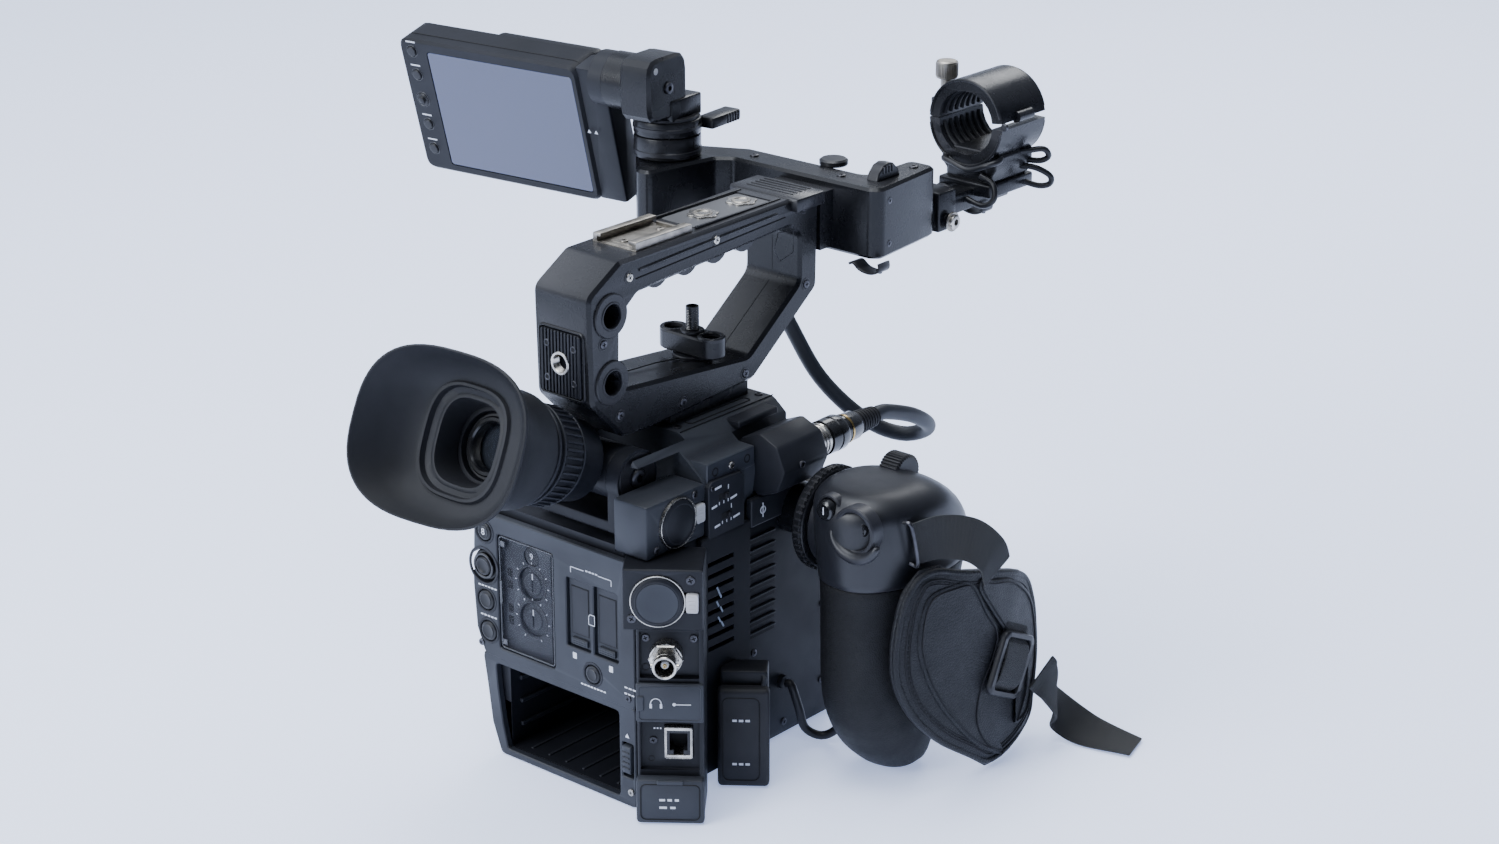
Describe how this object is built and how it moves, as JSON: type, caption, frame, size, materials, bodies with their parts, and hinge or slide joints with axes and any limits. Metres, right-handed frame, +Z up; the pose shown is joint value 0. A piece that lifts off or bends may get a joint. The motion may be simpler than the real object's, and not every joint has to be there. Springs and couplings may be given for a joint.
{
  "type": "cinema camera rig",
  "caption": "Modular cinema camera body with top handle, cold shoe, tilting viewfinder and eyecup, panning and tilting side monitor, microphone clamp, side grip with hand strap and cables.",
  "frame": {"origin": "centre of the camera body's foot, where a tripod plate meets it", "axes": "+Z up; the lens looks along -Y and the operator stands at +Y; the grip is on the -X side and the monitor on the +X side"},
  "size_m": [0.4037, 0.387, 0.3088],
  "materials": {
    "body_black": "fine satin moulded plastic",
    "panel_slate": "matt slate-grey moulded plastic",
    "handle_black": "glossy textured black paint on cast alloy",
    "button_black": "satin black plastic",
    "rubber_black": "matt black rubber",
    "cord_black": "thin black cable jacket",
    "grip_skin": "satin shell above, fine leather-like texture below",
    "worn_steel": "worn bare steel",
    "nickel": "nickel plate",
    "tab_grey": "pale grey embossed plastic",
    "smoke_plastic": "clear smoke-tinted door",
    "sensor_glass": "dark coated filter glass",
    "cable_grey": "mid-grey matt cable jacket",
    "webbing_black": "ribbed black nylon webbing",
    "strap_leather": "black leather-like padded skin with stitching"
  },
  "bodies": {
    "camera_body": {"body_shell": "body_black", "rear_panel": "panel_slate", "top_deck": "body_black", "right_side_panel": "body_black", "lens_mount": "body_black", "sensor_glass": "sensor_glass", "connector_column": "body_black", "ethernet_socket": "nickel", "bnc_socket": "nickel", "input_1_box": "body_black", "input_1_cap": "body_black", "input_2_cap": "body_black", "video_terminal": "body_black", "video_plug": "button_black", "video_cable": "cable_grey", "grip_cable": "cord_black", "handle_frame": "handle_black", "handle_rear_plate": "body_black", "cold_shoe": "worn_steel", "monitor_arm": "handle_black", "mic_arm": "handle_black", "mic_holder_lower": "handle_black", "viewfinder_mount": "body_black", "grip_rosette": "handle_black", "monitor_pan_base": "handle_black"},
    "viewfinder": {"viewfinder_barrel": "body_black", "eyecup": "rubber_black"},
    "grip": {"grip_body": "grip_skin", "hand_strap_pad": "strap_leather", "hand_strap_webbing": "webbing_black", "strap_buckle": "button_black", "hand_strap_tail": "webbing_black"},
    "monitor_yoke": {"monitor_neck": "handle_black"},
    "monitor": {"monitor_housing": "body_black"},
    "monitor_lever": {"monitor_lock_lever": "handle_black"},
    "mic_clamp": {"mic_holder_upper": "handle_black"},
    "mic_screw": {"mic_clamp_screw": "worn_steel"},
    "thumb_screw": {"handle_thumb_screw": "handle_black"},
    "lock_ring": {"lens_lock_ring": "button_black"},
    "audio_window": {"audio_door": "smoke_plastic"},
    "level_dial_1": {"audio_dial_1": "button_black"},
    "level_dial_2": {"audio_dial_2": "button_black"},
    "key_8": {"button_8": "button_black"},
    "key_9": {"button_9": "button_black"},
    "key_cancel": {"button_cancel": "button_black"},
    "key_menu": {"button_menu": "button_black"},
    "key_slot_select": {"button_slot_select": "button_black"},
    "rear_stick": {"rear_joystick": "button_black"},
    "card_flap_1": {"card_door_1": "panel_slate"},
    "card_flap_2": {"card_door_2": "panel_slate"},
    "battery_lever": {"battery_release_lever": "button_black"},
    "push_1": {"push_tab_1": "tab_grey"},
    "push_2": {"push_tab_2": "tab_grey"},
    "headphone_flap": {"headphone_usb_cover": "rubber_black"},
    "power_flap": {"dc_in_cover": "rubber_black"},
    "signal_flap": {"signal_cover": "rubber_black"},
    "grip_wheel": {"grip_dial": "button_black"},
    "record_key": {"grip_record_button": "button_black"},
    "grip_stick": {"grip_joystick": "button_black"},
    "grip_key": {"grip_button": "button_black"}
  },
  "joints": [
    {"name": "viewfinder_tilt", "type": "hinge", "parent": "camera_body", "child": "viewfinder", "pos_m": [0, 0.06, 0.153], "axis": [1, 0, 0], "range_deg": [-23, 2]},
    {"name": "grip_rotate", "type": "hinge", "parent": "camera_body", "child": "grip", "pos_m": [-0.048, -0.026, 0.118], "axis": [1, 0, 0], "range_deg": [-60, 0]},
    {"name": "monitor_pan", "type": "hinge", "parent": "camera_body", "child": "monitor_yoke", "pos_m": [0.074, -0.072, 0.2563], "axis": [0, 0, 1], "range_deg": [-25, 35]},
    {"name": "monitor_tilt", "type": "hinge", "parent": "monitor_yoke", "child": "monitor", "pos_m": [0.07254, -0.05808, 0.2933], "axis": [0.9945, 0.1045, 0], "range_deg": [-60, 120]},
    {"name": "monitor_lever_turn", "type": "hinge", "parent": "monitor_yoke", "child": "monitor_lever", "pos_m": [0.074, -0.072, 0.2714], "axis": [0, 0, 1], "range_deg": [-20, 35]},
    {"name": "mic_clamp_open", "type": "hinge", "parent": "camera_body", "child": "mic_clamp", "pos_m": [-0.0515, -0.194, 0.268], "axis": [0, -1, 0], "range_deg": [0, 80]},
    {"name": "mic_screw_turn", "type": "hinge", "parent": "mic_clamp", "child": "mic_screw", "pos_m": [-0.0026, -0.194, 0.268], "axis": [0, 0, 1], "continuous": true},
    {"name": "thumb_screw_turn", "type": "hinge", "parent": "camera_body", "child": "thumb_screw", "pos_m": [0, -0.006, 0.1895], "axis": [0, 0, 1], "continuous": true},
    {"name": "lens_lock", "type": "hinge", "parent": "camera_body", "child": "lock_ring", "pos_m": [0, -0.072, 0.082], "axis": [0, -1, 0], "range_deg": [0, 30]},
    {"name": "audio_door_open", "type": "hinge", "parent": "camera_body", "child": "audio_window", "pos_m": [0.0113, 0.0781, 0.084], "axis": [0, 0, 1], "range_deg": [0, 100]},
    {"name": "audio_level_1", "type": "hinge", "parent": "camera_body", "child": "level_dial_1", "pos_m": [0.026, 0.074, 0.092], "axis": [0, 1, 0], "range_deg": [-150, 150]},
    {"name": "audio_level_2", "type": "hinge", "parent": "camera_body", "child": "level_dial_2", "pos_m": [0.026, 0.074, 0.074], "axis": [0, 1, 0], "range_deg": [-150, 150]},
    {"name": "key_8_press", "type": "slide", "parent": "camera_body", "child": "key_8", "axis": [0, -1, 0], "range_m": [0, 0.0005], "stiffness_N_per_m": 600},
    {"name": "key_cancel_press", "type": "slide", "parent": "camera_body", "child": "key_cancel", "axis": [0, -1, 0], "range_m": [0, 0.0005], "stiffness_N_per_m": 600},
    {"name": "key_menu_press", "type": "slide", "parent": "camera_body", "child": "key_menu", "axis": [0, -1, 0], "range_m": [0, 0.0005], "stiffness_N_per_m": 600},
    {"name": "key_slot_select_press", "type": "slide", "parent": "camera_body", "child": "key_slot_select", "axis": [0, -1, 0], "range_m": [0, 0.0005], "stiffness_N_per_m": 600},
    {"name": "rear_stick_press", "type": "slide", "parent": "camera_body", "child": "rear_stick", "axis": [0, -1, 0], "range_m": [0, 0.0005], "stiffness_N_per_m": 600},
    {"name": "key_9_press", "type": "slide", "parent": "camera_body", "child": "key_9", "axis": [0, -1, 0], "range_m": [0, 0.0008], "stiffness_N_per_m": 600},
    {"name": "card_door_1_open", "type": "hinge", "parent": "camera_body", "child": "card_flap_1", "pos_m": [-0.006, 0.0774, 0.1024], "axis": [1, 0, 0], "range_deg": [0, 80]},
    {"name": "card_door_2_open", "type": "hinge", "parent": "camera_body", "child": "card_flap_2", "pos_m": [-0.023, 0.0774, 0.1024], "axis": [1, 0, 0], "range_deg": [0, 80]},
    {"name": "battery_lever_press", "type": "slide", "parent": "camera_body", "child": "battery_lever", "axis": [0, -1, 0], "range_m": [0, 0.0008], "stiffness_N_per_m": 800},
    {"name": "push_tab_1_press", "type": "slide", "parent": "camera_body", "child": "push_1", "axis": [1, 0, 0], "range_m": [0, 0.0012], "stiffness_N_per_m": 600},
    {"name": "push_tab_2_press", "type": "slide", "parent": "camera_body", "child": "push_2", "axis": [0.6157, -0.788, 0], "range_m": [0, 0.0012], "stiffness_N_per_m": 600},
    {"name": "headphone_cover_open", "type": "hinge", "parent": "camera_body", "child": "headphone_flap", "pos_m": [-0.07006, 0.06668, 0.0588], "axis": [0, 0, 1], "range_deg": [0, 90]},
    {"name": "power_cover_open", "type": "hinge", "parent": "camera_body", "child": "power_flap", "pos_m": [-0.07022, 0.06656, 0.0117], "axis": [0, 0, 1], "range_deg": [0, 90]},
    {"name": "signal_cover_open", "type": "hinge", "parent": "camera_body", "child": "signal_flap", "pos_m": [-0.06867, 0.01933, 0.025], "axis": [0, 0, 1], "range_deg": [0, 90]},
    {"name": "grip_dial_turn", "type": "hinge", "parent": "grip", "child": "grip_wheel", "pos_m": [-0.091, -0.045, 0.141], "axis": [1, 0, 0], "continuous": true},
    {"name": "record_press", "type": "slide", "parent": "grip", "child": "record_key", "axis": [0, 1, 0], "range_m": [0, 0.001], "stiffness_N_per_m": 500},
    {"name": "grip_stick_press", "type": "slide", "parent": "grip", "child": "grip_stick", "axis": [0, -1, 0], "range_m": [0, 0.001], "stiffness_N_per_m": 600},
    {"name": "grip_key_press", "type": "slide", "parent": "grip", "child": "grip_key", "axis": [0, -1, 0], "range_m": [0, 0.001], "stiffness_N_per_m": 500}
  ]
}
